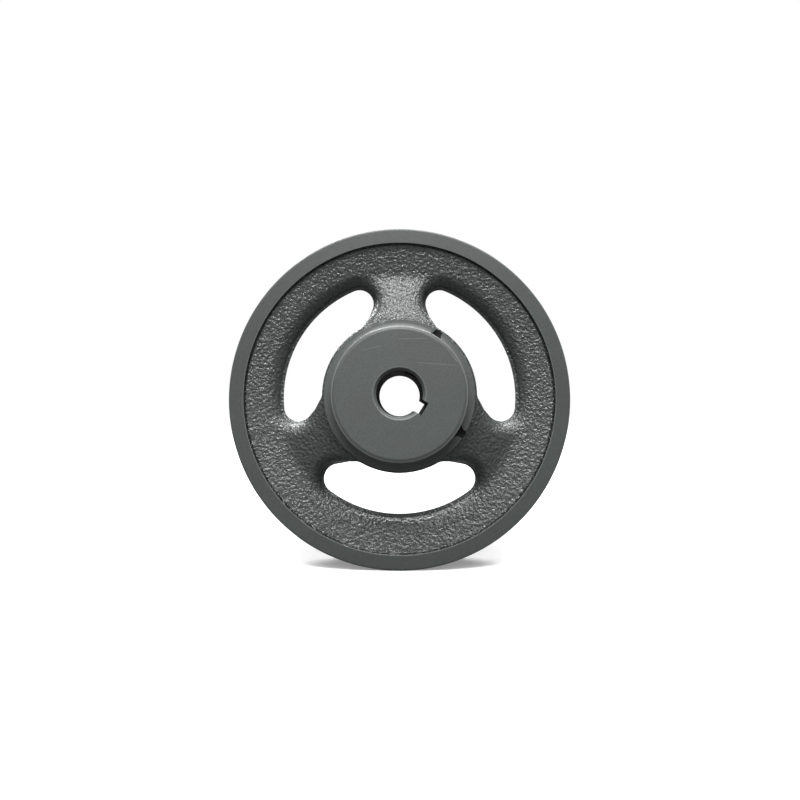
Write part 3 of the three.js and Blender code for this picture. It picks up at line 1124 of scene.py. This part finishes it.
class PULLEY_OT_sheave(bpy.types.Operator):
    """Build the one-piece casting: rim, groove, web, arms, hub, bore, keyway and tapped holes"""

    bl_idname = "pulley.sheave"
    bl_label = "Sheave casting"

    def execute(self, context):
        s = sizes()
        tools = [keyway_tool()]
        tools += [tapped_hole(f"tap_{i}", angle) for i, angle in enumerate(screw_angles())]
        shelf = bpy.data.collections.new("sheave_tools")
        for tool in tools:
            shelf.objects.link(tool)
        casting = new_object("sheave_casting", sector_mesh())
        finishes = {
            CAST: cast_skin_material(), TURNED: turned_material(), BORED: bored_material(),
        }
        run_tree(casting, ring_tree(finishes), {
            "Sectors": s.arm_count, "First angle": math.pi / 2 - math.pi / s.arm_count,
            "Height": s.skin_height, "Grain": s.skin_grain, "Seed": s.skin_seed,
            "Cutters": shelf,
        })
        bpy.data.collections.remove(shelf)
        for tool in tools:
            discard(tool)
        tidy_mesh(casting.data)
        shade(casting.data, 32)
        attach(casting, "sheave")
        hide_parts("sheave")
        return {"FINISHED"}


class PULLEY_OT_set_screws(bpy.types.Operator):
    """Build the two hexagon-socket set screws with their threads"""

    bl_idname = "pulley.set_screws"
    bl_label = "Set screws"

    def execute(self, context):
        t, d = screw_sizes(), derived()
        key_top = d.keyway_floor - t.key_play
        rests = {"keyway_set_screw": key_top, "shaft_set_screw": d.bore_radius}
        for angle, (node, stop) in zip(screw_angles(), rests.items()):
            tip = stop + t.pitch
            values = {
                "Start chamfer": t.end_chamfer, "End chamfer": t.end_chamfer,
                "Cup radius": t.cup_diameter / 2, "Cup depth": t.cup_depth,
                "Socket radius": t.socket / 2 / math.cos(math.pi / 6),
                "Socket depth": t.socket_depth,
            }
            name, steel = f"{node}_threaded", black_steel_material()
            screw = threaded_rod(name, steel, angle, tip, tip + t.body, values)
            tidy_mesh(screw.data)
            shade(screw.data, 40)
            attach(screw, node)
            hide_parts(node)
        return {"FINISHED"}


# The studio


def studio_floor():
    """A wide, flat and pale floor under the rim."""
    work = bmesh.new()
    bmesh.ops.create_circle(
        work, cap_ends=True, radius=studio().floor_radius, segments=96,
        matrix=Matrix.Translation((0, 0, CAD_LOW.z)),
    )
    mesh = into_mesh(work, bpy.data.meshes.new("studio_floor"))
    mesh.materials.append(floor_material())
    new_object("studio_floor", mesh)


def studio_sky():
    """Plain white surroundings, seen bright behind the pulley but lighting it only softly."""
    w = studio()
    world = bpy.data.worlds.new("studio_sky")
    world.use_nodes = True
    tree = world.node_tree
    seen = put(tree, "ShaderNodeLightPath").outputs["Is Camera Ray"]
    strength = spread(seen, 0.0, 1.0, w.sky, w.backdrop)
    feed(tree.nodes["Background"], Color=(1, 1, 1, 1), Strength=strength)
    bpy.context.scene.world = world


def softbox(name, power, size, place):
    """A softbox aimed at the pulley."""
    data = bpy.data.lights.new(name, "AREA")
    data.energy, data.shape = power * studio().light_level, "RECTANGLE"
    data.size, data.size_y = size
    light = new_object(name, data)
    light.location = place
    light.rotation_euler = (-Vector(place)).to_track_quat("-Z", "Y").to_euler()


def studio_camera():
    """The camera: below the bore's axis and looking up a little, close to the rim."""
    w = studio()
    sine, cosine = math.sin(w.camera_pitch), math.cos(w.camera_pitch)
    data = bpy.data.cameras.new("camera")
    data.lens, data.shift_y, data.clip_start = w.lens, w.shift, 5 * MM
    camera = new_object("camera", data)
    camera.location = (
        w.camera_side,
        derived().rim_front - w.camera_drop * sine - w.camera_distance * cosine,
        w.camera_drop * cosine - w.camera_distance * sine,
    )
    camera.rotation_euler = (math.pi / 2 + w.camera_pitch, 0, 0)
    bpy.context.scene.camera = camera


class PULLEY_OT_studio(bpy.types.Operator):
    """Build the pale floor, the surroundings, the lights and the camera"""

    bl_idname = "pulley.studio"
    bl_label = "Studio"

    def execute(self, context):
        studio_floor()
        studio_sky()
        for name, (power, size, place) in SOFTBOXES.items():
            softbox(name, power, size, place)
        context.scene.view_settings.view_transform = "Standard"
        studio_camera()
        return {"FINISHED"}


class PULLEY_PT_panel(bpy.types.Panel):
    """Lists the pulley's pieces in the order in which they are built"""

    bl_label = "V Belt Pulley"
    bl_idname = "PULLEY_PT_panel"
    bl_space_type = "VIEW_3D"
    bl_region_type = "UI"
    bl_category = "Pulley"

    def draw(self, context):
        for operator in BUILD_ORDER:
            self.layout.operator(operator.bl_idname)


BUILD_ORDER = (PULLEY_OT_sheave, PULLEY_OT_set_screws, PULLEY_OT_studio)
GROUPS = {
    "pulley_sizes": PulleySizes,
    "pulley_screws": ScrewSizes,
    "pulley_colours": FinishColours,
    "pulley_studio": StudioSettings,
}


def register():
    """Adds the settings, the operators and the panel."""
    for group in GROUPS.values():
        bpy.utils.register_class(group)
    for name, group in GROUPS.items():
        setattr(bpy.types.Scene, name, bpy.props.PointerProperty(type=group))
    for kind in (*BUILD_ORDER, PULLEY_PT_panel):
        bpy.utils.register_class(kind)


def unregister():
    """Takes them out again."""
    for kind in (PULLEY_PT_panel, *reversed(BUILD_ORDER)):
        bpy.utils.unregister_class(kind)
    for name, group in reversed(GROUPS.items()):
        delattr(bpy.types.Scene, name)
        bpy.utils.unregister_class(group)


def main():
    """Adds the settings and builds everything."""
    register()
    for operator in BUILD_ORDER:
        group, name = operator.bl_idname.split(".")
        getattr(getattr(bpy.ops, group), name)()


if __name__ == "__main__":
    main()
